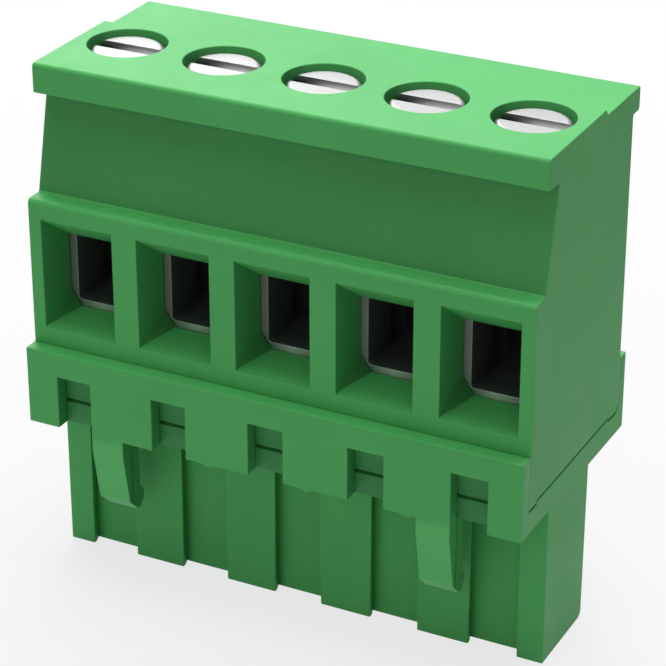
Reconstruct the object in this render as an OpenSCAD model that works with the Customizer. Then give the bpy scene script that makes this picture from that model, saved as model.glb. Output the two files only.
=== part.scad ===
// Pluggable terminal block: the wire half of a plug and header pair, standing on its plug end.
// The wires enter from the front (-Y), the screws turn from above (+Z) and the plug points down (-Z).
// Origin: middle of the footprint at the bottom of the plug. Heights count from there.
// Depths in the sizes below count from the front face of the apron, and centred() puts them in place.

/* [Row of poles] */
// Number of poles side by side
poles = 5; // [3:1:12]
// Distance from one pole to the next
pitch = 5.08; // [4.8:0.02:7.62]

/* [Plug] */
// Height of the plug below the tray
plug_h = 8.12; // [7:0.01:12]
// Depth from the apron's front face to the front of the ribs
plug_inset = 3.15; // [2.6:0.05:3.6]
// Depth of the plug from the front of its ribs to its back
plug_depth = 4.7; // [4.5:0.05:5.6]
// How far the ribs stand out of the plug's front
rib_out = 0.61; // [0.2:0.01:0.65]
// Width of a rib's face at its bottom
rib_w = 2.62; // [1.5:0.02:3]
// How much wider that face is under the tray
rib_flare = 0.14; // [0:0.02:0.6]
// How far each side of a rib is cut in behind its face
rib_undercut = 0.2; // [0:0.02:0.3]
// How far the plug's back leans over its height
plug_draft = 0.1; // [0:0.01:0.2]
// Depth from the front of the ribs to the middle of the header pins
pin_inset = 2.45; // [2.3:0.05:2.8]
// Width of the pin entries, which are square
pin_entry = 1.5; // [1.2:0.05:1.8]
// Lead-in chamfer around a pin entry
pin_chamfer = 0.3; // [0.1:0.05:0.4]
// Thickness of the plug's floor around the pin entries
plug_floor = 0.9; // [0.6:0.05:1.2]
// Width of the pocket behind a pin entry
pocket_w = 2.6; // [2.4:0.05:3.2]
// Depth of the pocket behind a pin entry
pocket_d = 2.8; // [2.7:0.02:3]

/* [Tray] */
// Thickness of the tray's floor
tray_t = 1.24; // [0.9:0.02:2]
// Thickness of the apron, the tray's front wall
apron_t = 0.78; // [0.6:0.02:1.2]
// Height of the apron above the tray's underside
apron_h = 3.91; // [2.8:0.01:4.2]
// Thickness of the tray's back wall
rear_wall_t = 0.7; // [0.6:0.05:1]
// Height of the back wall above the tray's underside
rear_wall_h = 3.95; // [3.6:0.01:6]
// Width of the slot in the apron under each wire entry
slot_w = 1.78; // [1:0.02:2.4]
// Height of these slots
slot_h = 2.67; // [1.5:0.01:2.7]
// Width of a bead under the apron
bead_w = 0.3; // [0.2:0.05:0.8]
// How far a bead hangs below the apron, which is also the run of each of its sloping sides
bead_h = 0.13; // [0.05:0.01:0.3]
// Distance from a pole to the bead beside it
bead_shift = 2.04; // [1.6:0.02:2.1]

/* [Latches] */
// Width of a latch
latch_w = 1.68; // [1.2:0.02:2.2]
// Length of a latch below the tray
latch_h = 4.15; // [3.5:0.05:5]
// Thickness of a latch at its root
latch_t = 1.5; // [1.2:0.05:1.8]
// How far the hook stands behind the latch's inner face
hook_out = 0.34; // [0.2:0.02:0.5]
// Height of the hook's ramp above the latch's tip
hook_ramp = 0.45; // [0.3:0.05:0.6]
// Height of the hook's flat
hook_flat = 0.33; // [0.2:0.01:0.5]
// Height of the hook's holding slope
hook_slope = 0.42; // [0.3:0.02:0.6]
// Height of the latch's slanted tip in front
latch_tip_h = 0.68; // [0.4:0.02:1]
// Height below the tray at which the latch starts to taper
latch_root_h = 0.8; // [0.6:0.05:1.2]

/* [Upper housing] */
// Depth from the wire entry face to the back
upper_depth = 10.7; // [10.4:0.05:14]
// Height of the wire entry's sill above the seam
sill_h = 3.54; // [3:0.01:5]
// Height of the wall above a wire entry, up to the shoulder
shoulder_h = 0.93; // [0.5:0.01:2]
// Width of the ledge on the shoulder
ledge_w = 0.98; // [0.6:0.02:1.2]
// Height of the leaning face between the shoulder and the cap
slope_h = 4.87; // [4:0.01:6]
// How far that face leans back
slope_run = 1.12; // [0.8:0.02:1.2]
// Thickness of the cap
cap_t = 1.45; // [1:0.01:2.5]
// How far the cap stands out over the leaning face
cap_front = 1.15; // [0.5:0.05:1.4]
// How far the cap stands out behind the back
cap_rear = 0.75; // [0.4:0.05:1.5]
// How much lower the cap is behind the screw holes
cap_step = 0.3; // [0.1:0.02:0.6]
// Distance from the edge of a screw hole to the step in the cap
step_gap = 0.23; // [0.1:0.01:1]

/* [Wire entries] */
// Width of a wire entry at the front face
entry_w = 3.78; // [3.5:0.02:4.2]
// Height of a wire entry at the front face
entry_h = 5.5; // [5.2:0.02:6.5]
// Depth of the funnel between the front face and the cage
funnel_d = 2; // [1.5:0.05:2.3]
// Width of the funnel at its inner end
funnel_w = 3.26; // [2.8:0.02:3.4]
// How far the funnel's sill rises on its way in
sill_rise = 0.43; // [0.2:0.01:0.8]
// How far the funnel's ceiling comes down on its way in
ceiling_drop = 1.44; // [0.5:0.01:1.8]
// Width of the web in each lower corner of the funnel, at its inner end
web_w = 0.6; // [0.1:0.02:0.8]
// Height of that web
web_h = 0.8; // [0.1:0.05:1]

/* [Clamp cages] */
// Outer width of a cage
cage_w = 3.5; // [3.4:0.02:3.8]
// Thickness of a cage's sides and floor
cage_t = 0.5; // [0.4:0.02:0.6]
// Thickness of a cage's threaded top
nut_t = 1.25; // [1:0.05:1.6]
// How far a cage's floor shows above the funnel's sill
cage_rim = 0.32; // [0.1:0.01:0.45]
// Free height between a cage's floor and the current bar when the clamp is open
clamp_gap = 2.88; // [2.2:0.02:3.1]
// What is left of that height when the clamp is shut with no wire in it
shut_gap = 0.08; // [0.02:0.01:0.3]

/* [Screws] */
// Depth from the wire entry face to the screws
screw_inset = 5.18; // [4.9:0.01:5.3]
// Diameter of the thread
thread_d = 3; // [2.5:0.1:3]
// Diameter of a screw's head
head_d = 3.5; // [3.3:0.05:4]
// Height of a screw's head
head_h = 2; // [1.4:0.05:2.4]
// How deep a head lies below the top of the cap
head_sink = 0.23; // [0:0.01:1]
// Chamfer around the top of a head
head_edge = 0.18; // [0.05:0.01:0.3]
// Width of the driver slot
driver_w = 0.7; // [0.5:0.01:1]
// Depth of the driver slot
driver_d = 1; // [0.6:0.05:1.2]
// Gap all round between a head and its hole
head_gap = 0.14; // [0.05:0.01:0.3]

/* [Contacts] */
// Thickness of the current bar and the strip that carries it
bar_t = 0.6; // [0.4:0.05:0.8]
// Width of the current bar
bar_w = 2.3; // [1.8:0.05:2.3]
// Distance from a cage's front to the end of the current bar
bar_inset = 0.85; // [0.5:0.05:1.2]
// Width of the contact's foot on the tray
foot_w = 3; // [2.8:0.05:3.4]
// Width of the two leaves that hold a pin
leaf_w = 1.6; // [1.2:0.05:1.8]
// Thickness of a leaf
leaf_t = 0.32; // [0.2:0.02:0.34]
// Gap between the leaves where they pinch the pin
pinch_gap = 0.8; // [0.6:0.02:0.95]
// Height of the leaves' tips above the plug's floor
tip_h = 0.4; // [0.2:0.05:1]
// Height from the leaves' tips to where they pinch the pin
pinch_rise = 1.3; // [1:0.05:2]
// How much wider than the pinch the leaves stand apart at their tips
tip_spread = 0.5; // [0.3:0.02:0.6]
// How much wider than the pinch the leaves stand apart at their roots
root_spread = 0.4; // [0.2:0.02:0.6]
// Thickness of the steel spring around the leaves
spring_t = 0.22; // [0.15:0.01:0.22]
// Depth of the spring's top below the tray's floor
spring_sink = 0.8; // [0.4:0.05:1.5]
// Height of the bridge that joins the spring's two arms
bridge_h = 2; // [1:0.1:3]

/* [Fits] */
// Clearance between the upper housing and the tray's walls
wall_fit = 0.02; // [0.01:0.01:0.05]
// Height of the open line along the front and the back of the seam
seam_line = 0.11; // [0.05:0.01:0.15]
// Height of the open line along the sides of the seam
side_line = 0.08; // [0.05:0.01:0.15]
// Clearance between a cage and the walls of its chamber
cage_fit = 0.05; // [0.03:0.01:0.1]
// Radial clearance of the thread
thread_fit = 0.04; // [0.02:0.01:0.08]
// Clearance at end stops and seats
stop_fit = 0.03; // [0.02:0.01:0.06]
// Clearance around the contacts
contact_fit = 0.05; // [0.03:0.01:0.1]

/* [Hidden] */
numbers = [for (i = [1:poles]) i];

green = [0.26, 0.58, 0.3];
nickel = [0.86, 0.87, 0.87];
brass = [0.62, 0.66, 0.6];
tin = [0.75, 0.75, 0.72];
steel = [0.6, 0.62, 0.64];

// Past: how far a cut runs beyond the faces that it opens
past = 1;
arc_steps = 6;
round_fn = 72;

// Row
row_w = poles * pitch;

// Depths, from the apron's front face
face_y = apron_t + wall_fit;
back_y = face_y + upper_depth;
wall_y = back_y + wall_fit;
tray_back_y = wall_y + rear_wall_t;
ledge_y = face_y + ledge_w;
slope_y = ledge_y + slope_run;
cap_y = slope_y - cap_front;
cap_back_y = back_y + cap_rear;
depth = max(cap_back_y, tray_back_y);
rib_y = plug_inset;
recess_y = plug_inset + rib_out;
plug_back_y = plug_inset + plug_depth;
pin_y = plug_inset + pin_inset;
funnel_y = face_y + funnel_d;
screw_y = face_y + screw_inset;
cage_y = funnel_y + stop_fit;
cage_back_y = 2 * screw_y - cage_y;
chamber_back_y = cage_back_y + cage_fit;
riser_y = chamber_back_y + contact_fit;
riser_back_y = riser_y + bar_t;
bar_front_y = cage_y + bar_inset;

// Heights, from the plug's bottom
seam_z = plug_h + tray_t;
jog_h = 0.15;
strip_z = seam_z - jog_h;
apron_z = plug_h + apron_h;
rear_wall_z = plug_h + rear_wall_h;
sill_z = seam_z + sill_h;
entry_z = sill_z + entry_h;
shoulder_z = entry_z + shoulder_h;
cap_z = shoulder_z + slope_h;
top_z = cap_z + cap_t;
funnel_sill_z = sill_z + sill_rise;
funnel_top_z = entry_z - ceiling_drop;
window_z = funnel_sill_z + cage_rim;
cage_z = window_z - cage_t;
bar_z = window_z + clamp_gap;
bar_top_z = bar_z + bar_t;
window_top_z = bar_top_z + stop_fit;
cage_top_z = window_top_z + nut_t;
cage_travel = clamp_gap - shut_gap;
chamber_z = cage_top_z + cage_travel + stop_fit;
foot_z = seam_z + bar_t;
leaf_root_z = seam_z + bar_t / 2;
leaf_tip_z = plug_floor + tip_h;
pinch_z = leaf_tip_z + pinch_rise;

// Gaps between the two leaves of a contact at their roots and at their tips
root_gap = pinch_gap + root_spread;
tip_gap = pinch_gap + tip_spread;

// Seam: a shallow step near the front and the back holds the two mouldings in line
front_strip_w = 0.9;
back_strip_w = 1.2;
front_jog_y = face_y + front_strip_w;
back_jog_y = back_y - back_strip_w;
seam_rebate = 0.2;

// Screw and its hole
head_z = top_z - head_sink;
tip_z = bar_top_z + stop_fit;
thread_r = thread_d / 2;
hole_r = head_d / 2 + head_gap;

// Catches that hold the two mouldings together, one near each end of the back
catch_w = 2.4;
catch_out = 0.5;
catch_ramp = 0.66;
catch_flat = 0.44;
catch_rise = 0.62;
catch_h = catch_ramp + catch_flat;
catch_z = seam_z + catch_rise;

function pole_x(i) = (i - (poles + 1) / 2) * pitch;
function unit(v) = v / norm(v);
function turn(a, b) = (b - a + 540) % 360 - 180;

// The corner q between its neighbours p and s, rounded with the radius r
function corner(p, q, s, r) =
    let (
        to_p = unit(p - q),
        to_s = unit(s - q),
        half = acos(to_p * to_s) / 2,
        centre = q + unit(to_p + to_s) * r / sin(half),
        first = q + to_p * r / tan(half) - centre,
        last = q + to_s * r / tan(half) - centre,
        start = atan2(first[1], first[0]),
        sweep = turn(start, atan2(last[1], last[0]))
    )
    [for (k = [0:arc_steps]) centre + r * [cos(start + sweep * k / arc_steps), sin(start + sweep * k / arc_steps)]];

// An outline from corners given as [across, up, radius], where the radius may be left out
function rounded(corners) =
    let (n = len(corners), flat = [for (c = corners) [c[0], c[1]]])
    [for (i = [0:n - 1])
        each (
            corners[i][2] == undef
                ? [flat[i]]
                : corner(flat[(i + n - 1) % n], flat[i], flat[(i + 1) % n], corners[i][2])
        )];

// Moves what is drawn with depths from the apron's face into the part's own frame
module centred() {
    translate([0, -depth / 2, 0]) children();
}

// Draws an outline of [depth, height] along the row, over the width w
module along_row(w) {
    rotate([90, 0, 90]) translate([0, 0, -w / 2]) linear_extrude(w) children();
}

// Draws an outline of [place in the row, height] from the depth y0 to the depth y1
module front_to_back(y0, y1) {
    translate([0, y1, 0]) rotate([90, 0, 0]) linear_extrude(y1 - y0) children();
}

// A box from one corner to the other
module block(low, high) {
    translate(low) cube(high - low);
}

module at_each_pole() {
    for (i = numbers) translate([pole_x(i), 0, 0]) children();
}

// Puts a copy between the first two poles and its mirror image between the last two
module at_both_ends() {
    for (side = [-1, 1]) translate([side * (pole_x(poles) - pitch / 2), 0, 0]) children();
}

module upper_profile() {
    soft = 0.1;
    edge = 0.2;
    shoulder = 0.25;
    ramp = 0.2;
    heel = 0.35;
    step_y = screw_y + hole_r + step_gap;
    polygon(rounded([
        [face_y, strip_z + seam_line, soft],
        [face_y, shoulder_z, shoulder],
        [ledge_y, shoulder_z, soft],
        [slope_y, cap_z, soft],
        [cap_y, cap_z, soft],
        [cap_y, top_z, edge],
        [step_y, top_z],
        [step_y + ramp, top_z - cap_step],
        [cap_back_y, top_z - cap_step, soft],
        [cap_back_y, cap_z, edge],
        [back_y, cap_z, soft],
        [back_y, strip_z + seam_line, heel],
        [back_jog_y, strip_z + seam_line],
        [back_jog_y, seam_z],
        [front_jog_y, seam_z],
        [front_jog_y, strip_z + seam_line]
    ]));
}

// The web in the funnel's left lower corner, from nothing at the front face to its full size at the cage
module corner_web() {
    sunk = 0.04;
    beyond = 1.3;
    start = [-entry_w / 2 - sunk, face_y, sill_z - sunk];
    on_wall = [-funnel_w / 2, funnel_y, funnel_sill_z + web_h];
    on_sill = [-funnel_w / 2 + web_w, funnel_y, funnel_sill_z];
    polyhedron(
        points = [
            start,
            start + beyond * (on_wall - start),
            start + beyond * (on_sill - start),
            [-entry_w / 2 - past / 2, funnel_y + past, sill_z - past]
        ],
        faces = [[0, 1, 2], [0, 2, 3], [0, 3, 1], [1, 3, 2]]
    );
}

// The funnel of a wire entry, less the webs in its lower corners
module funnel() {
    difference() {
        funnel_faces();
        corner_web();
        mirror([1, 0, 0]) corner_web();
    }
}

// The funnel's sill and ceiling from the side, cut by its two walls from above
module funnel_faces() {
    lip = 0.3;
    intersection() {
        along_row(entry_w) polygon(rounded([
            [face_y - past, sill_z],
            [face_y, sill_z, lip],
            [funnel_y, funnel_sill_z],
            [funnel_y, funnel_top_z],
            [face_y, entry_z],
            [face_y - past, entry_z]
        ]));
        linear_extrude(top_z) polygon([
            [-entry_w / 2, face_y - past],
            [-entry_w / 2, face_y],
            [-funnel_w / 2, funnel_y],
            [funnel_w / 2, funnel_y],
            [entry_w / 2, face_y],
            [entry_w / 2, face_y - past]
        ]);
    }
}

// What is open inside the upper housing at one pole: cage chamber, contact channel and screw hole
module chamber() {
    half = cage_w / 2 + cage_fit;
    channel = bar_w / 2 + contact_fit;
    block([-half, funnel_y, strip_z - past], [half, chamber_back_y, chamber_z]);
    block([-channel, screw_y, strip_z - past], [channel, riser_back_y + contact_fit, bar_top_z + contact_fit]);
    translate([0, screw_y, cage_top_z]) cylinder(r = hole_r, h = top_z - cage_top_z + past, $fn = round_fn);
}

// The wedge of a catch, with its ramp below and its holding face on top
module catch_wedge() {
    along_row(catch_w) polygon([
        [back_y - past, catch_z],
        [back_y, catch_z],
        [back_y + catch_out, catch_z + catch_ramp],
        [back_y + catch_out, catch_z + catch_h],
        [back_y - past, catch_z + catch_h]
    ]);
}

// The side cut that leaves the seam open as a fine line
module seam_cut(side) {
    x = side * row_w / 2;
    block(
        [min(x, x - side * seam_rebate) - (side < 0 ? past : 0), front_jog_y, seam_z - past],
        [max(x, x - side * seam_rebate) + (side > 0 ? past : 0), back_jog_y, seam_z + side_line]
    );
}

module upper_housing() {
    color(green) centred() difference() {
        union() {
            along_row(row_w) upper_profile();
            at_both_ends() catch_wedge();
        }
        at_each_pole() funnel();
        at_each_pole() chamber();
        for (side = [-1, 1]) seam_cut(side);
    }
}

module tray_profile() {
    inner_corner = 0.3;
    outer_corner = 0.15;
    polygon(rounded([
        [0, plug_h],
        [0, apron_z],
        [apron_t, apron_z],
        [apron_t, strip_z],
        [front_jog_y, strip_z],
        [front_jog_y, seam_z],
        [back_jog_y, seam_z],
        [back_jog_y, strip_z],
        [wall_y, strip_z, inner_corner],
        [wall_y, rear_wall_z],
        [tray_back_y, rear_wall_z],
        [tray_back_y, plug_h, outer_corner]
    ]));
}

module plug_core() {
    back_corner = 0.35;
    along_row(row_w) polygon(rounded([
        [recess_y, 0],
        [recess_y, plug_h + tray_t / 2],
        [plug_back_y + plug_draft, plug_h + tray_t / 2],
        [plug_back_y, 0, back_corner]
    ]));
}

// One rib of the plug's front: its outline from above, with both sides cut in, and its outline from the front
module rib() {
    bottom = rib_w / 2;
    root = bottom + rib_flare / 2;
    waist = root - rib_undercut;
    intersection() {
        linear_extrude(plug_h + tray_t / 2) polygon([
            [-root, rib_y],
            [-waist, recess_y],
            [-waist, recess_y + past],
            [waist, recess_y + past],
            [waist, recess_y],
            [root, rib_y]
        ]);
        front_to_back(rib_y - past, recess_y + past) polygon([
            [-bottom, 0],
            [-root, plug_h],
            [-root, plug_h + tray_t],
            [root, plug_h + tray_t],
            [root, plug_h],
            [bottom, 0]
        ]);
    }
}

// Ribs stand between the poles, and half a rib at each end
module ribs() {
    intersection() {
        for (i = [0:poles]) translate([pole_x(i) + pitch / 2, 0, 0]) rib();
        block([-row_w / 2, 0, 0], [row_w / 2, depth, seam_z]);
    }
}

// A latch that springs over a lug of the header: a tongue with a hook behind its tip
module latch() {
    end_z = plug_h - latch_h;
    ramp_z = end_z + hook_ramp;
    tip_flat = 0.3;
    root_round = 0.6;
    soft = 0.1;
    along_row(latch_w) polygon(rounded([
        [0, plug_h + tray_t / 2],
        [0, plug_h - latch_root_h, root_round],
        [latch_t / 3, end_z + latch_tip_h, soft],
        [latch_t - tip_flat, end_z, soft],
        [latch_t, end_z, soft],
        [latch_t + hook_out, ramp_z, soft],
        [latch_t + hook_out, ramp_z + hook_flat, soft],
        [latch_t, ramp_z + hook_flat + hook_slope, soft],
        [latch_t, plug_h + tray_t / 2]
    ]));
}

module bead() {
    front_to_back(0, apron_t) polygon([
        [-bead_w / 2 - bead_h, plug_h + bead_h],
        [-bead_w / 2 - bead_h, plug_h],
        [-bead_w / 2, plug_h - bead_h],
        [bead_w / 2, plug_h - bead_h],
        [bead_w / 2 + bead_h, plug_h],
        [bead_w / 2 + bead_h, plug_h + bead_h]
    ]);
}

module apron_slot() {
    block([-slot_w / 2, -past, plug_h - past], [slot_w / 2, apron_t, plug_h + slot_h]);
}

// The window that a catch snaps into
module catch_window() {
    x = catch_w / 2 + cage_fit;
    block([-x, wall_y - past, catch_z - cage_fit], [x, tray_back_y + past, catch_z + catch_h + stop_fit]);
}

// A pin's way in: the square entry, its lead-in chamfer and the pocket for the leaves
module pin_way() {
    half = pin_entry / 2;
    wide = half + pin_chamfer;
    flare = [
        [-wide - past, -past],
        [-wide, 0],
        [-half, pin_chamfer],
        [-half, plug_floor + past],
        [half, plug_floor + past],
        [half, pin_chamfer],
        [wide, 0],
        [wide + past, -past]
    ];
    translate([0, pin_y, 0]) {
        intersection() {
            along_row(2 * (wide + past)) polygon(flare);
            front_to_back(-wide - past, wide + past) polygon(flare);
        }
        block([-pocket_w / 2, -pocket_d / 2, plug_floor], [pocket_w / 2, pocket_d / 2, seam_z + past]);
    }
}

module lower_housing() {
    latch_x = pole_x(poles) - slot_w / 2 - latch_w / 2;
    color(green) centred() difference() {
        union() {
            difference() {
                along_row(row_w) tray_profile();
                at_each_pole() apron_slot();
            }
            plug_core();
            ribs();
            for (side = [-1, 1]) translate([side * latch_x, 0, 0]) latch();
            for (i = [2:poles - 1]) translate([pole_x(i) + bead_shift, 0, 0]) bead();
        }
        at_both_ends() catch_window();
        at_each_pole() pin_way();
    }
}

// A slotted screw that turns in place: its tip stands on the current bar
module clamp_screw(i) {
    tip_edge = 0.35;
    core_r = thread_r - thread_fit;
    color(nickel) centred() translate([pole_x(i), screw_y, 0]) difference() {
        rotate_extrude($fn = round_fn) polygon([
            [0, tip_z],
            [core_r - tip_edge, tip_z],
            [core_r, tip_z + tip_edge],
            [core_r, head_z - head_h],
            [head_d / 2, head_z - head_h],
            [head_d / 2, head_z - head_edge],
            [head_d / 2 - head_edge, head_z],
            [0, head_z]
        ]);
        block([-head_d, -driver_w / 2, head_z - driver_d], [head_d, driver_w / 2, head_z + past]);
    }
}

// A cage around the current bar: the screw's thread lifts it, and its floor presses the wire up
module clamp_cage(i) {
    outer = cage_w / 2;
    inner = outer - cage_t;
    bend = 0.35;
    nut_corner = 0.25;
    window_corner = 0.12;
    color(brass) centred() translate([pole_x(i), 0, 0]) difference() {
        front_to_back(cage_y, cage_back_y) polygon(rounded([
            [-outer, cage_z, bend],
            [outer, cage_z, bend],
            [outer, cage_top_z, nut_corner],
            [-outer, cage_top_z, nut_corner]
        ]));
        front_to_back(cage_y - past, cage_back_y + past) polygon(rounded([
            [-inner, window_z, window_corner],
            [inner, window_z, window_corner],
            [inner, window_top_z, window_corner],
            [-inner, window_top_z, window_corner]
        ]));
        translate([0, screw_y, window_z]) cylinder(r = thread_r, h = cage_top_z - window_z + past, $fn = round_fn);
    }
}

// One of the two leaves from the side, seen from the pin's middle: bent in to the pinch, then out
module leaf_profile() {
    polygon([
        [root_gap / 2, leaf_root_z],
        [pinch_gap / 2, pinch_z],
        [tip_gap / 2, leaf_tip_z],
        [tip_gap / 2 + leaf_t, leaf_tip_z],
        [pinch_gap / 2 + leaf_t, pinch_z],
        [root_gap / 2 + leaf_t, leaf_root_z]
    ]);
}

// A socket contact: current bar inside the cage, strip down behind it, foot on the tray, two leaves
module socket_contact(i) {
    toe = 0.2;
    bend = 0.3;
    foot_front = pin_y - root_gap / 2 - leaf_t - toe;
    color(tin) centred() translate([pole_x(i), 0, 0]) {
        along_row(bar_w) polygon(rounded([
            [bar_front_y, bar_z],
            [riser_y, bar_z, bend / 3],
            [riser_y, foot_z, bend / 3],
            [foot_front, foot_z],
            [foot_front, seam_z],
            [riser_back_y, seam_z, bend],
            [riser_back_y, bar_top_z, bend],
            [bar_front_y, bar_top_z, bend]
        ]));
        block([-foot_w / 2, foot_front, seam_z], [foot_w / 2, cage_back_y, foot_z]);
        translate([0, pin_y, 0]) {
            along_row(leaf_w) leaf_profile();
            mirror([0, 1, 0]) along_row(leaf_w) leaf_profile();
        }
    }
}

// The steel spring that backs both leaves: two arms joined by a bridge beside them
module contact_spring(i) {
    gap = 0.02;
    toe = 0.2;
    toe_out = 0.04;
    high = seam_z - spring_sink;
    low = pinch_z - toe;
    inner = leaf_w / 2 + gap;
    lean = (root_gap - pinch_gap) / 2 / (leaf_root_z - pinch_z);
    at_high = pinch_gap / 2 + leaf_t + gap + lean * (high - pinch_z);
    at_pinch = pinch_gap / 2 + leaf_t + gap;
    arm = [
        [at_high, high],
        [at_pinch, pinch_z],
        [at_pinch + toe_out, low],
        [at_pinch + toe_out + spring_t, low],
        [at_pinch + spring_t, pinch_z],
        [at_high + spring_t, high]
    ];
    color(steel) centred() translate([pole_x(i), pin_y, 0]) {
        for (side = [0, 1]) mirror([0, side, 0]) {
            translate([-spring_t / 2, 0, 0]) along_row(leaf_w + 2 * gap + spring_t) polygon(arm);
        }
        intersection() {
            block([-inner - spring_t, -pocket_d, high - bridge_h], [-inner, pocket_d, high]);
            along_row(2 * (inner + spring_t)) polygon(concat(
                [for (p = arm) if (p[0] >= at_pinch + spring_t) p],
                [[-at_high - spring_t, high], [-at_pinch - spring_t, pinch_z]]
            ));
        }
    }
}

upper_housing();
lower_housing();
for (i = numbers) clamp_screw(i);
for (i = numbers) clamp_cage(i);
for (i = numbers) socket_contact(i);
for (i = numbers) contact_spring(i);
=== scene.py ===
"""Looks of a pluggable terminal block: two moulded housings, slotted screws, rising cages and
socket contacts.

All sizes are in metres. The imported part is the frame. Places come from the boxes of its nodes, and
those that a box doesn't tell are written here as sizes of the part.
"""

import math

import bmesh
import bpy
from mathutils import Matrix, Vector


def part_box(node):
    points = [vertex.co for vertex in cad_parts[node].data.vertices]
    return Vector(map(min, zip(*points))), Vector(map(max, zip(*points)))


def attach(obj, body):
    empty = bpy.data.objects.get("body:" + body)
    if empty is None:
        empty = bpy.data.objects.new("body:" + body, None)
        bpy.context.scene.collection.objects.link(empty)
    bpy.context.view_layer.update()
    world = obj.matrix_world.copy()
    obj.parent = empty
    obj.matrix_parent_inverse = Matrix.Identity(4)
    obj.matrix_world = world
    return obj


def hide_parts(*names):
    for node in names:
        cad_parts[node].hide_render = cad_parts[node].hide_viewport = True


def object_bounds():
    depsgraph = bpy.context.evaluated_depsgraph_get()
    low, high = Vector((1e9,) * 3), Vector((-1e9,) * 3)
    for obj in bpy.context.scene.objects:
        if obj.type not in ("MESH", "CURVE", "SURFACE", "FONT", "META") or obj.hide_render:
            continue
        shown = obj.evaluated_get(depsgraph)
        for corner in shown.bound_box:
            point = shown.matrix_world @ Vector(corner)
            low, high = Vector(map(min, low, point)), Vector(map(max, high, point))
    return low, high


MM = 0.001

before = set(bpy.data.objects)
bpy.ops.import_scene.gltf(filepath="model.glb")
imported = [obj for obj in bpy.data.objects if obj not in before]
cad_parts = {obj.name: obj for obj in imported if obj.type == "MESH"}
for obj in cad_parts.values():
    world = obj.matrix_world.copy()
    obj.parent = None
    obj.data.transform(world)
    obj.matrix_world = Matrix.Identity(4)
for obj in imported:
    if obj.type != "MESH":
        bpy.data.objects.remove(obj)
cad_low, cad_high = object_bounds()

POLES = sum(1 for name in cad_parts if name.startswith("clamp_screw_"))

# Edge roundings of the moulded, the stamped and the turned pieces
MOULDED_EDGE = 0.05 * MM
STAMPED_EDGE = 0.03 * MM
TURNED_EDGE = 0.025 * MM
ROUNDING_STEPS = 2

# Degrees by which two faces turn at an edge that counts as sharp, on most pieces and on the
# screws, whose threads have coarser steps
SHARP_TURN = 32
SCREW_SHARP_TURN = 50

# Points this close together are one point, and faces that turn by less than this are one face
WELD = 0.0001 * MM
FLAT_TURN = math.radians(0.5)

# A plane across X at each catch window, clear of the latches and beads
WINDOW_CUT = 6.6 * MM

# The upright joints at the two ends, where the upper housing stands between the apron and the rear
# wall: the place of each along Y, the height up to which they reach, and a reach around them
END_JOINTS = (-5.335 * MM, 5.385 * MM)
JOINT_TOP = 12.07 * MM
JOINT_REACH = 0.03 * MM
LEVEL_REACH = 0.001 * MM

# Underside of the tray, below which the latches hang free and are lightened with painted light,
# the height over which that begins, and the depth in front of which nothing else hangs there
TRAY_UNDER = 8.12 * MM
LATCH_FADE = 0.3 * MM
LATCH_DEPTH = -5.0 * MM

# Top of the apron's slots, and the height below which the faces seen through them are darkest with
# painted shade
SLOT_TOP = 10.79 * MM
SLOT_DEEP = 9.5 * MM

# Middle height of the webs in the lower corners of the wire entries, and a reach above and below it
WEB_HEIGHT = 14.3 * MM
WEB_REACH = 2.2 * MM

# Foot of the face that leans back under the cap
LEANING_FOOT = -4.35 * MM

# Height of a cage's floor, up to which its rim is lighter with painted light, and half the height
# over which that ends
CAGE_FLOOR = 0.5 * MM
FLOOR_FADE = 0.05 * MM

# The screws' heads, slots and threads; the other sizes of a screw come from its box
HEAD_HEIGHT = 2.0 * MM
HEAD_EDGE = 0.2 * MM
HEAD_DOME = 0.3 * MM
DRIVER_WIDTH = 0.78 * MM
DRIVER_DEPTH = 1.0 * MM
THREAD_PITCH = 0.5 * MM
THREAD_DEPTH = 0.27 * MM
THREAD_RADIUS = 1.46 * MM

# Points in a ring of a screw, rings in a turn of its thread, and rings in the dome of its head
RING_POINTS = 48
THREAD_RINGS = 8
DOME_RINGS = 6

# The cutter of the driver slot: its length in radii of the head, and how far it stands above it
CUTTER_LENGTH = 2.4
CUTTER_ABOVE = 0.5 * MM

# The photograph's viewpoint, and the nearest and farthest point that the camera sees. The sensor's
# width is in millimetres, as Blender takes it.
CAMERA_PLACE = (50.115 * MM, -98.583 * MM, 67.695 * MM)
CAMERA_AZIMUTH = math.radians(26.766)
CAMERA_ELEVATION = math.radians(26.359)
SENSOR_WIDTH = 36.0
FOCAL_PIXELS = 2636.6
PICTURE_PIXELS = 666
CAMERA_SEES = (0.01, 10)

# The soft lamps, mostly above and behind: name, place, size and power in watts of each, and the
# point at which all of them aim
LAMPS = (
    ("lamp_top", (0.0, -0.02, 0.30), 0.30, 0.5),
    ("lamp_high", (0.0, 0.02, 0.30), 0.12, 0.3),
    ("lamp_rear", (-0.02, 0.16, 0.24), 0.20, 0.46),
    ("lamp_left_rear", (-0.22, 0.20, 0.14), 0.20, 0.36),
    ("lamp_front", (-0.03, -0.30, 0.12), 0.25, 0.188),
)
LAMPS_AIM = Vector((0, 0, 0.012))

# The surroundings: their faint light, and by how much white is dimmed in a reflection
WHITE = (1.0, 1.0, 1.0)
AMBIENT = 0.1
WORLD_DIMMED = -0.5

# The floor: half its side, its height, and the size and shades of its clouds
FLOOR_HALF = 1.5
FLOOR_HEIGHT = -0.01 * MM
FLOOR_CLOUDS = 40 * MM
FLOOR_SHADES = ((0.58, 0.58, 0.58), (0.6, 0.6, 0.6))
FLOOR_ROUGHNESS = 0.9

# Distances from the object's middle, near and far, and what the floor does from one to the other:
# by how much its white is dimmed in a reflection, and the share of white in what is seen directly
DIMMED_OVER = (25 * MM, 60 * MM)
FLOOR_DIMMED = (-0.2, -0.5)
WHITER_OVER = (20 * MM, 70 * MM)
FLOOR_WHITE = (0.75, 1.0)


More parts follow.
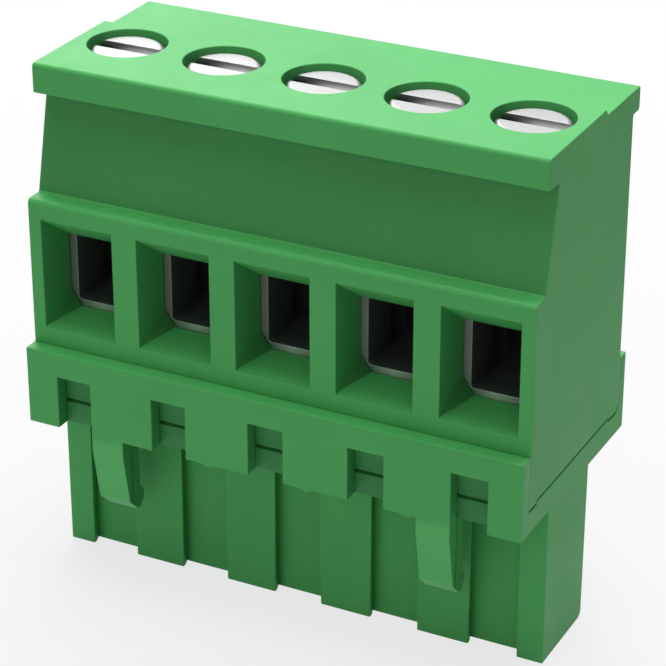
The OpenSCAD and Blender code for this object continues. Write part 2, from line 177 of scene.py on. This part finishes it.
# Nodes of a material

# The inputs of a Mix node for its factor and two colours, and its output for the mixed colour
MIX_INPUTS = (0, 6, 7)
MIX_OUTPUT = 2

# The middle part of a noise, which holds most of its values
USUAL_NOISE = (0.3, 0.7)


def connect(tree, value, socket):
    """Links an output to an input, or sets the input to a plain value. A colour is opaque."""
    if isinstance(value, bpy.types.NodeSocket):
        tree.links.new(value, socket)
    elif socket.type == "RGBA":
        socket.default_value = (*value, 1)
    else:
        socket.default_value = value


def feed(tree, node, **values):
    """Gives each input of a node that is named, with _ for a space, its value or link."""
    for name, value in values.items():
        connect(tree, value, node.inputs[name.replace("_", " ")])


def add(tree, kind, *values, **settings):
    """A node of that kind. The values go to its inputs in order.

    A setting is a property of the node, or else the value or link of the input with that name.
    """
    node = tree.nodes.new(kind)
    for name, value in settings.items():
        if hasattr(node, name):
            setattr(node, name, value)
        else:
            connect(tree, value, node.inputs[name.replace("_", " ")])
    for socket, value in zip(node.inputs, values):
        connect(tree, value, socket)
    return node


def new_material(name, metallic=0.0, specular=0.5):
    """A material with a Principled shader. Returns the material, its node tree and the shader."""
    material = bpy.data.materials.new(name)
    material.use_nodes = True
    tree = material.node_tree
    shader = tree.nodes["Principled BSDF"]
    feed(tree, shader, Metallic=metallic, Specular_IOR_Level=specular)
    return material, tree, shader


def own_place(tree):
    """The point's place in the piece's own axes, in metres."""
    return add(tree, "ShaderNodeTexCoord").outputs["Object"]


def own_normal(tree):
    """The way the surface faces, in the piece's own axes."""
    return add(tree, "ShaderNodeTexCoord").outputs["Normal"]


def axes(tree, vector):
    """The three parts of a vector, by the names X, Y and Z."""
    return add(tree, "ShaderNodeSeparateXYZ", vector).outputs


def maths(tree, operation, *values):
    """The result of a Math node."""
    return add(tree, "ShaderNodeMath", *values, operation=operation).outputs[0]


def product(tree, *factors):
    """All factors multiplied. With masks from 0 to 1, it is what they have in common."""
    result = factors[0]
    for factor in factors[1:]:
        result = maths(tree, "MULTIPLY", result, factor)
    return result


def ramp(tree, value, start, end, low=0.0, high=1.0):
    """Goes from low to high while the value goes from start to end, and stays there beyond them."""
    node = add(tree, "ShaderNodeMapRange", Value=value, From_Min=start, From_Max=end,
               To_Min=low, To_Max=high)
    return node.outputs["Result"]


def noise(tree, size, detail=3.0):
    """Cloudy noise from 0 to 1 with patches of that size."""
    node = add(tree, "ShaderNodeTexNoise", Vector=own_place(tree), Scale=1 / size, Detail=detail)
    return node.outputs["Fac"]


def streaks(tree, per_metre, detail):
    """Noise from 0 to 1 with that many patches a metre along each axis."""
    drawn = add(tree, "ShaderNodeMapping", Vector=own_place(tree), Scale=per_metre)
    node = add(tree, "ShaderNodeTexNoise", Vector=drawn.outputs[0], Scale=1.0, Detail=detail)
    return node.outputs["Fac"]


def spread(tree, value, low, high):
    """Noise made to run from low to high over its usual middle."""
    return ramp(tree, value, *USUAL_NOISE, low, high)


def mixed(tree, factor, first, second, how="MIX"):
    """The first colour where factor is 0, and where it is 1 the second, put on it as how says."""
    node = add(tree, "ShaderNodeMix", data_type="RGBA", blend_type=how)
    for index, value in zip(MIX_INPUTS, (factor, first, second)):
        connect(tree, value, node.inputs[index])
    return node.outputs[MIX_OUTPUT]


def times(tree, colour, factor, by):
    """The colour, multiplied by a second colour as far as factor says."""
    return mixed(tree, factor, colour, by, how="MULTIPLY")


def bump(tree, height, depth, strength=1.0):
    """A bump of that depth in metres from a height of 0 to 1."""
    node = add(tree, "ShaderNodeBump", Height=height, Distance=depth, Strength=strength)
    return node.outputs["Normal"]


# Green plastic

# Its shades, their clouds and specks, its gloss, and the grain of the mould
GREEN_SPECULAR = 0.25
GREEN_SHADES = ((0.071, 0.390, 0.103), (0.077, 0.422, 0.112))
CLOUD_SIZE = 5 * MM
SPECK_SIZE = 0.25 * MM
SPECK_SHARE = 0.12
SPECK_TINT = (0.75, 0.8, 0.75)
GLOSS_SIZE = 1.5 * MM
GREEN_ROUGHNESS = (0.44, 0.52)
GRAIN_SIZE = 0.09 * MM
GRAIN_DEPTH = 0.0016 * MM

# By what its colour is multiplied as painted shade at some places and as painted light on the
# latches, and the share of that shade at the top of the slots
LEANING_SHADE = (0.71, 0.7, 0.71)
WALL_SHADE = (0.76, 0.79, 0.83)
WEB_SHADE = (0.55, 0.57, 0.55)
SLOT_SHADE = (0.55, 0.6, 0.62)
SLOT_TOP_SHADE_SHARE = 0.53
LATCH_LIGHT = (1.3, 1.18, 1.25)

# How a face looks there: the parts of its direction from which and up to which a mask grows, and
# the least sideways and upward parts of a web's direction
LEANS_BACK = (0.12, 0.2)
LOOKS_AHEAD = (-0.9, -0.95)
LOOKS_ASIDE = (0.85, 0.95)
WEB_ASIDE = 0.5
WEB_UPWARD = 0.3


def looks_aside(tree, facing):
    """A mask of the faces that look left or right."""
    return ramp(tree, maths(tree, "ABSOLUTE", facing["X"]), *LOOKS_ASIDE)


def between_ends(tree, place):
    """A mask of what lies further in than the faces at the two ends and their edges."""
    inner = cad_high[0] - JOINT_REACH - MOULDED_EDGE
    return maths(tree, "LESS_THAN", maths(tree, "ABSOLUTE", place["X"]), inner)


def leaning_face(tree, facing, place):
    """A mask of the face that leans back under the cap, which is darkened with painted shade."""
    back = ramp(tree, facing["Z"], *LEANS_BACK)
    ahead = ramp(tree, facing["Y"], *LOOKS_AHEAD)
    above_foot = maths(tree, "GREATER_THAN", place["Y"], LEANING_FOOT)
    return product(tree, back, ahead, above_foot)


def side_walls(tree, facing, place):
    """A mask of the upright walls of recesses and ribs that look left or right, which are darkened
    with painted shade.
    """
    return product(tree, looks_aside(tree, facing), between_ends(tree, place))


def entry_webs(tree, facing, place):
    """A mask of the webs in the lower corners of the wire entries, which are darkened with painted
    shade.
    """
    aslant = maths(tree, "GREATER_THAN", maths(tree, "ABSOLUTE", facing["X"]), WEB_ASIDE)
    upward = maths(tree, "GREATER_THAN", facing["Z"], WEB_UPWARD)
    near_webs = maths(tree, "COMPARE", place["Z"], WEB_HEIGHT, WEB_REACH)
    return product(tree, aslant, upward, near_webs, between_ends(tree, place))


def slot_backs(tree, place):
    """A mask of the faces seen through the apron's slots, where shade is painted, which grows
    downwards.
    """
    behind = maths(tree, "COMPARE", place["Y"], END_JOINTS[0], 2 * JOINT_REACH)
    below = maths(tree, "LESS_THAN", place["Z"], JOINT_TOP - 2 * JOINT_REACH)
    down = ramp(tree, place["Z"], SLOT_TOP, SLOT_DEEP, SLOT_TOP_SHADE_SHARE, 1.0)
    return product(tree, behind, below, between_ends(tree, place), down)


def hanging_latches(tree, facing, place):
    """A mask of the latches below the tray, without their sides; painted light makes them paler."""
    hanging = ramp(tree, place["Z"], TRAY_UNDER, TRAY_UNDER - LATCH_FADE)
    in_front = maths(tree, "LESS_THAN", place["Y"], LATCH_DEPTH)
    no_side = maths(tree, "SUBTRACT", 1.0, looks_aside(tree, facing))
    return product(tree, hanging, in_front, no_side)


def moulded_polyamide():
    """Satin green polyamide: faint flow clouds in the colour, fine grain of the spark-eroded mould.

    As in the photo, the green is darkened with painted shade on the face that leans back under the
    cap, the side walls of recesses and ribs, the webs in the wire entries and the faces behind the
    apron's slots, and lightened with painted light on the latches.
    """
    material, tree, shader = new_material("moulded_polyamide", specular=GREEN_SPECULAR)
    clouds = spread(tree, noise(tree, CLOUD_SIZE, detail=2.0), 0.0, 1.0)
    specks = spread(tree, noise(tree, SPECK_SIZE, detail=2.0), 0.0, SPECK_SHARE)
    facing = axes(tree, own_normal(tree))
    place = axes(tree, own_place(tree))
    green = times(tree, mixed(tree, clouds, *GREEN_SHADES), specks, SPECK_TINT)
    # Painted shade: the face that leans back under the cap is darkened
    green = times(tree, green, leaning_face(tree, facing, place), LEANING_SHADE)
    # Painted shade: the upright walls that look left or right are darkened
    green = times(tree, green, side_walls(tree, facing, place), WALL_SHADE)
    # Painted shade: the webs in the wire entries are darkened
    green = times(tree, green, entry_webs(tree, facing, place), WEB_SHADE)
    # Painted shade: the faces behind the apron's slots are darkened, more towards the bottom
    green = times(tree, green, slot_backs(tree, place), SLOT_SHADE)
    # Painted light: the latches are made paler
    green = times(tree, green, hanging_latches(tree, facing, place), LATCH_LIGHT)
    gloss = spread(tree, noise(tree, GLOSS_SIZE), *GREEN_ROUGHNESS)
    grain = bump(tree, noise(tree, GRAIN_SIZE, detail=1.0), GRAIN_DEPTH)
    feed(tree, shader, Base_Color=green, Roughness=gloss, Normal=grain)
    return material


# Metals

# The screws' nickel: its shades and bloom, and the rings that turning left
NICKEL_SHADES = ((0.4, 0.4, 0.4), (0.35, 0.35, 0.35))
NICKEL_ROUGHNESS = (0.36, 0.46)
BLOOM_SIZE = 0.12 * MM
RING_SIZE = 0.5 * MM
RING_DEPTH = 0.001 * MM
RING_STRENGTH = 0.4
RING_DISTORTION = 0.6

# The driver slot: depths below the head's top over which its finish begins, places along it from
# its end in painted shade to its end in painted light, upward parts of direction from its walls to
# its floor, the colours of that painted shade and light, by what the floor's are multiplied as
# painted shade, and how much less it is a metal
SLOT_FROM = (0.1 * MM, 0.3 * MM)
SLOT_RUN = (-1.15 * MM, -0.2 * MM)
SLOT_FLOOR = (0.3, 0.7)
SLOT_SHADE_AND_LIGHT = ((0.08, 0.09, 0.08), (0.97, 0.97, 0.97))
SLOT_FLOOR_SHADE = (0.3, 0.3, 0.3)
SLOT_LESS_METAL = 0.3

# The cages: depths behind the front over which the rim gives way to painted shade, distances from
# a pole's middle over which painted shade grows towards the corners, the colours of the rim and of
# its floor, which is lighter with painted light, by what the corners are multiplied, the colour of
# the painted shade inside, its patches and least share, and how much less it is a metal there
RIM_TO_INSIDE_SHADE = (0.02 * MM, 0.10 * MM)
TO_CORNER = (0.1 * MM, 1.2 * MM)
RIM_AND_LIT_FLOOR = ((0.24, 0.28, 0.25), (0.36, 0.46, 0.38))
CORNER_SHADE = (0.42, 0.5, 0.42)
INSIDE_SHADE = (0.09, 0.1, 0.09)
INSIDE_SHADE_PATCH = 0.5 * MM
INSIDE_SHADE_LEAST = 0.9
INSIDE_LESS_METAL = 0.7
CAGE_ROUGHNESS = (0.38, 0.6)

# Marks and rolled lines a metre along each axis, and how deep they are
CAGE_MARKS = (9000, 900, 9000)
CAGE_MARK_DEPTH = 0.006 * MM
STRIP_LINES = (16000, 600, 600)
STRIP_LINE_DEPTH = 0.002 * MM

# The plated strips: the size of their tarnish, how far their roughness varies, and the shades and
# the roughness of each
TARNISH_SIZE = 0.9 * MM
STRIP_VARIES = 0.06
TIN_SHADES = ((0.36, 0.36, 0.35), (0.25, 0.25, 0.24))
TIN_ROUGHNESS = 0.42
STEEL_SHADES = ((0.42, 0.43, 0.44), (0.33, 0.33, 0.34))
STEEL_ROUGHNESS = 0.3


def bright_nickel(top):
    """Bright nickel on a turned steel screw: fine rings around its axis and a thin bloom.

    The sawn driver slot, below the head's top, is matt, with painted shade on its floor and at one
    end, and painted light towards the other end.
    """
    material, tree, shader = new_material("bright_nickel", metallic=1.0)
    rings = add(tree, "ShaderNodeTexWave", wave_type="RINGS", rings_direction="Z",
                Vector=own_place(tree), Scale=1 / RING_SIZE, Distortion=RING_DISTORTION,
                Detail=2.0)
    bloom = noise(tree, BLOOM_SIZE)
    facing = axes(tree, own_normal(tree))
    place = axes(tree, own_place(tree))
    plated = mixed(tree, spread(tree, bloom, 0.0, 1.0), *NICKEL_SHADES)
    # Painted shade at one end of the slot and on its floor, painted light towards the other end
    sawn = mixed(tree, ramp(tree, place["X"], *SLOT_RUN), *SLOT_SHADE_AND_LIGHT)
    sawn = times(tree, sawn, ramp(tree, facing["Z"], *SLOT_FLOOR), SLOT_FLOOR_SHADE)
    in_slot = ramp(tree, place["Z"], top - SLOT_FROM[0], top - SLOT_FROM[1])
    feed(tree, shader,
         Base_Color=mixed(tree, in_slot, plated, sawn),
         Metallic=maths(tree, "MULTIPLY_ADD", in_slot, -SLOT_LESS_METAL, 1.0),
         Roughness=spread(tree, bloom, *NICKEL_ROUGHNESS),
         Normal=bump(tree, rings.outputs["Fac"], RING_DEPTH, RING_STRENGTH))
    return material


def cage_metal(front, floor, pitch):
    """Nickelled brass, dull and dark inside the cage, where shade is painted.

    Its front rim is lighter, with painted light most of all on its floor's, and painted shade
    towards the corners.
    """
    material, tree, shader = new_material("cage_metal", metallic=1.0)
    place = axes(tree, own_place(tree))
    # Painted light: the rim of the cage's floor is lighter
    lit_floor_rim = ramp(tree, place["Z"], floor + FLOOR_FADE, floor - FLOOR_FADE)
    in_pole = maths(tree, "WRAP", place["X"], pitch / 2, -pitch / 2)
    corner = ramp(tree, maths(tree, "ABSOLUTE", in_pole), *TO_CORNER)
    rim = mixed(tree, lit_floor_rim, *RIM_AND_LIT_FLOOR)
    # Painted shade: the floor's rim darkens towards the corners
    rim = times(tree, rim, product(tree, corner, lit_floor_rim), CORNER_SHADE)
    # Painted shade: everything behind the front rim is dark and less metallic
    inside = ramp(tree, place["Y"], front + RIM_TO_INSIDE_SHADE[0], front + RIM_TO_INSIDE_SHADE[1])
    patches = spread(tree, noise(tree, INSIDE_SHADE_PATCH), INSIDE_SHADE_LEAST, 1.0)
    shaded_inside = product(tree, inside, patches)
    marks = streaks(tree, CAGE_MARKS, detail=3.0)
    feed(tree, shader,
         Base_Color=mixed(tree, shaded_inside, rim, INSIDE_SHADE),
         Metallic=maths(tree, "MULTIPLY_ADD", shaded_inside, -INSIDE_LESS_METAL, 1.0),
         Roughness=spread(tree, marks, *CAGE_ROUGHNESS),
         Normal=bump(tree, marks, CAGE_MARK_DEPTH))
    return material


def dull_metal(name, shades, rough):
    """A plated strip: clouds of tarnish and fine rolling lines along the strip."""
    material, tree, shader = new_material(name, metallic=1.0)
    clouds = spread(tree, noise(tree, TARNISH_SIZE), 0.0, 1.0)
    lines = streaks(tree, STRIP_LINES, detail=2.0)
    feed(tree, shader,
         Base_Color=mixed(tree, clouds, *shades),
         Roughness=spread(tree, lines, rough - STRIP_VARIES, rough + STRIP_VARIES),
         Normal=bump(tree, lines, STRIP_LINE_DEPTH))
    return material


# Meshes

def pole_middles():
    """Places of the poles along X."""
    boxes = [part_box(f"clamp_screw_{i}") for i in range(1, POLES + 1)]
    return [(low.x + high.x) / 2 for low, high in boxes]


def whole_faces(node, cuts=(), levels=()):
    """A copy of a CAD node's mesh with its triangles joined to flat faces, cut at places along X
    and at levels along Z.

    The cuts keep these faces free of holes.
    """
    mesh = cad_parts[node].data.copy()
    work = bmesh.new()
    work.from_mesh(mesh)
    bmesh.ops.remove_doubles(work, verts=work.verts, dist=WELD)
    planes = [((x, 0, 0), (1, 0, 0)) for x in cuts] + [((0, 0, z), (0, 0, 1)) for z in levels]
    for place, across in planes:
        everything = work.verts[:] + work.edges[:] + work.faces[:]
        made = bmesh.ops.bisect_plane(work, geom=everything, dist=WELD, plane_co=place,
                                      plane_no=across)
        for item in made["geom_cut"]:
            if isinstance(item, bmesh.types.BMEdge):
                item.seam = True
    bmesh.ops.dissolve_limit(work, angle_limit=FLAT_TURN, verts=work.verts, edges=work.edges,
                             delimit={"SEAM"})
    work.to_mesh(mesh)
    work.free()
    return mesh


def placed(name, mesh, body, material, nodes, centre=Vector()):
    """A new piece with that mesh, which rides on a body, stands for CAD nodes and has a finish."""
    mesh.name = name
    mesh.materials.clear()
    mesh.materials.append(material)
    piece = bpy.data.objects.new(name, mesh)
    piece.location = centre
    bpy.context.scene.collection.objects.link(piece)
    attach(piece, body)
    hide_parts(*nodes)
    return piece


def in_end_joint(edge):
    """Whether an edge lies in an upright joint of the two housings at one of their ends."""
    end = cad_high[0] - JOINT_REACH
    top = JOINT_TOP + JOINT_REACH
    return any(all(abs(vert.co.x) > end and abs(vert.co.y - y) < JOINT_REACH and vert.co.z < top
                   for vert in edge.verts) for y in END_JOINTS)


def in_joint_level(edge):
    """Whether an edge lies in the cut at the top of the end joints."""
    return edge.seam and all(abs(vert.co.z - JOINT_TOP) < LEVEL_REACH for vert in edge.verts)


def keep_inward_sharp(mesh, turn):
    """Marks the inward edges as sharp that turn by more than that many degrees."""
    work = bmesh.new()
    work.from_mesh(mesh)
    for edge in work.edges:
        inward = edge.is_manifold and not edge.is_convex
        if inward and edge.calc_face_angle() > math.radians(turn):
            edge.smooth = False
    work.to_mesh(mesh)
    work.free()


def soften_edges(piece, radius, turn=SHARP_TURN):
    """Rounds the outward edges that turn by more than that many degrees, with the result applied
    to the mesh, and keeps flat faces flat to the eye.

    The edges in the end joints stay sharp, so that the two housings' ends read as one face there.
    The rounding loses the marks of inward edges beside it, so they are set again after it.
    """
    work = bmesh.new()
    work.from_mesh(piece.data)
    weight = work.edges.layers.float.new("bevel_weight_edge")
    for edge in work.edges:
        turns = edge.calc_face_angle() > math.radians(turn)
        if turns and edge.is_convex and not in_end_joint(edge):
            edge[weight] = 1.0
        elif turns or in_joint_level(edge):
            edge.smooth = False
    work.to_mesh(piece.data)
    work.free()
    soft = piece.modifiers.new("soft_edges", "BEVEL")
    soft.width = radius
    soft.segments = ROUNDING_STEPS
    soft.limit_method = "WEIGHT"
    soft.use_clamp_overlap = False
    soft.miter_outer = "MITER_SHARP"
    graph = bpy.context.evaluated_depsgraph_get()
    mesh = bpy.data.meshes.new_from_object(piece.evaluated_get(graph))
    piece.modifiers.remove(soft)
    piece.data = mesh
    keep_inward_sharp(mesh, turn)
    flat = piece.modifiers.new("even_faces", "WEIGHTED_NORMAL")
    flat.keep_sharp = True


def softened(node, name, body, material, radius, cuts=(), levels=()):
    """Makes the piece that a CAD node stands for, with every sharp outward edge rounded."""
    mesh = whole_faces(node, cuts, levels)
    mesh.shade_smooth()
    piece = placed(name, mesh, body, material, [node])
    soften_edges(piece, radius)


# Screws

def turned(work, rows):
    """Adds a closed body of rings around Z. A row gives its radius and height at an angle."""
    rings = []
    for row in rows:
        ring = []
        for k in range(RING_POINTS):
            angle = 2 * math.pi * k / RING_POINTS
            radius, height = row(angle)
            corner = (radius * math.cos(angle), radius * math.sin(angle), height)
            ring.append(work.verts.new(corner))
        rings.append(ring)
    for low, high in zip(rings, rings[1:]):
        for k in range(RING_POINTS):
            n = (k + 1) % RING_POINTS
            work.faces.new((low[k], low[n], high[n], high[k]))
    work.faces.new(rings[0][::-1])
    work.faces.new(rings[-1])


def even_row(radius, height):
    """A ring of one radius at one height."""
    return lambda angle: (radius, height)


def thread_rows(low, high):
    """Rings of a thread from low to high, with a pointed start and a runout under the head."""
    count = round((high - low) / THREAD_PITCH * THREAD_RINGS)

    def row(n):
        height = low + (high - low) * n / count
        fade = min(1.0, n / THREAD_RINGS, (count - n) / THREAD_RINGS)

        def at(angle):
            phase = (height / THREAD_PITCH - angle / (2 * math.pi)) % 1.0
            crest = 1 - abs(2 * phase - 1)
            return THREAD_RADIUS - THREAD_DEPTH * (1 - crest * fade), height
        return at
    return [row(n) for n in range(count + 1)]


def screw_mesh(length, head_radius):
    """A screw without its slot, from its tip at 0 up to its head's top at length."""
    under = length - HEAD_HEIGHT
    core = THREAD_RADIUS - THREAD_DEPTH
    rows = [even_row(core - HEAD_EDGE, 0.0)]
    rows += thread_rows(HEAD_EDGE, under - HEAD_EDGE)
    rows.append(even_row(core, under))
    rows.append(even_row(head_radius - HEAD_EDGE / 2, under))
    rows.append(even_row(head_radius, under + HEAD_EDGE / 2))
    for k in range(DOME_RINGS + 1):
        turn = math.pi / 2 * k / DOME_RINGS
        radius = head_radius - HEAD_DOME * (1 - math.cos(turn))
        height = length - HEAD_DOME * (1 - math.sin(turn))
        rows.append(even_row(radius, height))
    work = bmesh.new()
    turned(work, rows)
    mesh = bpy.data.meshes.new("screw")
    work.to_mesh(mesh)
    work.free()
    return mesh


def slot_cutter(length, head_radius):
    """A bar that cuts the driver slot across the head."""
    size = (CUTTER_LENGTH * head_radius, DRIVER_WIDTH, DRIVER_DEPTH + CUTTER_ABOVE)
    middle = (0, 0, length + (CUTTER_ABOVE - DRIVER_DEPTH) / 2)
    work = bmesh.new()
    bmesh.ops.create_cube(work, size=1.0)
    bmesh.ops.scale(work, vec=size, verts=work.verts)
    bmesh.ops.translate(work, vec=middle, verts=work.verts)
    mesh = bpy.data.meshes.new("slot_cutter")
    work.to_mesh(mesh)
    work.free()
    return bpy.data.objects.new("slot_cutter", mesh)


def slotted_screw(i, material):
    """Makes screw i, with its thread, its rounded head and a slot cut by an applied boolean."""
    node = f"clamp_screw_{i}"
    low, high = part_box(node)
    centre = Vector(((low.x + high.x) / 2, (low.y + high.y) / 2, low.z))
    length = high.z - low.z
    head_radius = (high.x - low.x) / 2
    blank = bpy.data.objects.new("blank", screw_mesh(length, head_radius))
    cutter = slot_cutter(length, head_radius)
    for thing in (blank, cutter):
        bpy.context.scene.collection.objects.link(thing)
    cut = blank.modifiers.new("slot", "BOOLEAN")
    cut.operation = "DIFFERENCE"
    cut.object = cutter
    cut.solver = "EXACT"
    graph = bpy.context.evaluated_depsgraph_get()
    mesh = bpy.data.meshes.new_from_object(blank.evaluated_get(graph))
    for thing in (blank, cutter):
        bpy.data.objects.remove(thing)
    mesh.shade_smooth()
    piece = placed(f"slotted_screw_{i}", mesh, f"screw_{i}", material, [node],
                   centre)
    soften_edges(piece, TURNED_EDGE, SCREW_SHARP_TURN)


# The object

def dress():
    """Gives every piece its form and finish."""
    green = moulded_polyamide()
    middles = pole_middles()
    between = [(a + b) / 2 for a, b in zip(middles, middles[1:])]
    softened("upper_housing", "upper_moulding", "housing", green, MOULDED_EDGE,
             middles + between, [JOINT_TOP])
    softened("lower_housing", "lower_moulding", "housing", green, MOULDED_EDGE,
             middles + [-WINDOW_CUT, WINDOW_CUT])
    screw_low, screw_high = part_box("clamp_screw_1")
    nickel = bright_nickel(screw_high.z - screw_low.z)
    cage_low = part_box("clamp_cage_1")[0]
    cage = cage_metal(cage_low.y, cage_low.z + CAGE_FLOOR, middles[1] - middles[0])
    tin = dull_metal("tinned_strip", TIN_SHADES, TIN_ROUGHNESS)
    steel = dull_metal("spring_steel", STEEL_SHADES, STEEL_ROUGHNESS)
    for i in range(1, POLES + 1):
        slotted_screw(i, nickel)
        softened(f"clamp_cage_{i}", f"rising_cage_{i}", f"cage_{i}", cage,
                 STAMPED_EDGE)
        softened(f"socket_contact_{i}", f"bent_contact_{i}", "housing", tin,
                 STAMPED_EDGE)
        softened(f"contact_spring_{i}", f"steel_clip_{i}", "housing", steel,
                 STAMPED_EDGE)


# The studio

def add_lamp(name, place, size, power):
    """A soft square lamp that points at the object."""
    lamp = bpy.data.lights.new(name, "AREA")
    lamp.shape = "SQUARE"
    lamp.size = size
    lamp.energy = power
    holder = bpy.data.objects.new(name, lamp)
    holder.location = place
    holder.rotation_euler = (LAMPS_AIM - Vector(place)).to_track_quat("-Z", "Y").to_euler()
    bpy.context.scene.collection.objects.link(holder)


def ray_kinds(tree):
    """Two masks: 1 for what is seen directly or through glass, and 1 for what is reflected."""
    path = add(tree, "ShaderNodeLightPath").outputs
    seen = maths(tree, "MAXIMUM", path["Is Camera Ray"], path["Is Transmission Ray"])
    return seen, path["Is Glossy Ray"]


def light_studio():
    """Soft lamps, faint even surroundings and a white background."""
    for settings in LAMPS:
        add_lamp(*settings)
    world = bpy.data.worlds.new("studio")
    bpy.context.scene.world = world
    world.use_nodes = True
    tree = world.node_tree
    tree.nodes.clear()
    seen, reflected = ray_kinds(tree)
    level = maths(tree, "MULTIPLY_ADD", reflected, WORLD_DIMMED, 1.0)
    soft = add(tree, "ShaderNodeBackground", Color=WHITE, Strength=AMBIENT)
    white = add(tree, "ShaderNodeBackground", Color=WHITE, Strength=level)
    either = maths(tree, "MAXIMUM", seen, reflected)
    mix = add(tree, "ShaderNodeMixShader", either, soft.outputs[0], white.outputs[0])
    add(tree, "ShaderNodeOutputWorld", Surface=mix.outputs[0])


def lay_floor():
    """A plain pale floor that keeps the object's shadow and shows white elsewhere."""
    mesh = bpy.data.meshes.new("floor")
    corners = [(x * FLOOR_HALF, y * FLOOR_HALF, FLOOR_HEIGHT)
               for x, y in ((-1, -1), (1, -1), (1, 1), (-1, 1))]
    mesh.from_pydata(corners, [], [(0, 1, 2, 3)])
    material, tree, shader = new_material("pale_floor", specular=0.0)
    pale = mixed(tree, noise(tree, FLOOR_CLOUDS), *FLOOR_SHADES)
    feed(tree, shader, Base_Color=pale, Roughness=FLOOR_ROUGHNESS)
    away = add(tree, "ShaderNodeVectorMath", own_place(tree), operation="LENGTH").outputs["Value"]
    seen, reflected = ray_kinds(tree)
    dimmed = ramp(tree, away, *DIMMED_OVER, *FLOOR_DIMMED)
    level = maths(tree, "MULTIPLY_ADD", reflected, dimmed, 1.0)
    glow = add(tree, "ShaderNodeEmission", Color=WHITE, Strength=level)
    plain = ramp(tree, away, *WHITER_OVER, *FLOOR_WHITE)
    share = maths(tree, "MULTIPLY_ADD", seen, plain, reflected)
    mix = add(tree, "ShaderNodeMixShader", share, shader.outputs[0], glow.outputs[0])
    feed(tree, tree.nodes["Material Output"], Surface=mix.outputs[0])
    mesh.materials.append(material)
    floor = bpy.data.objects.new("floor", mesh)
    bpy.context.scene.collection.objects.link(floor)


def place_camera():
    """The photograph's viewpoint: from the front right and above, with a long lens."""
    lens = bpy.data.cameras.new("camera")
    lens.sensor_width = SENSOR_WIDTH
    lens.lens = SENSOR_WIDTH * FOCAL_PIXELS / PICTURE_PIXELS
    lens.clip_start, lens.clip_end = CAMERA_SEES
    camera = bpy.data.objects.new("camera", lens)
    camera.location = CAMERA_PLACE
    camera.rotation_euler = (math.pi / 2 - CAMERA_ELEVATION, 0, CAMERA_AZIMUTH)
    bpy.context.scene.collection.objects.link(camera)
    bpy.context.scene.camera = camera


place_camera()
light_studio()
lay_floor()
dress()
bpy.context.scene.view_settings.view_transform = "Standard"
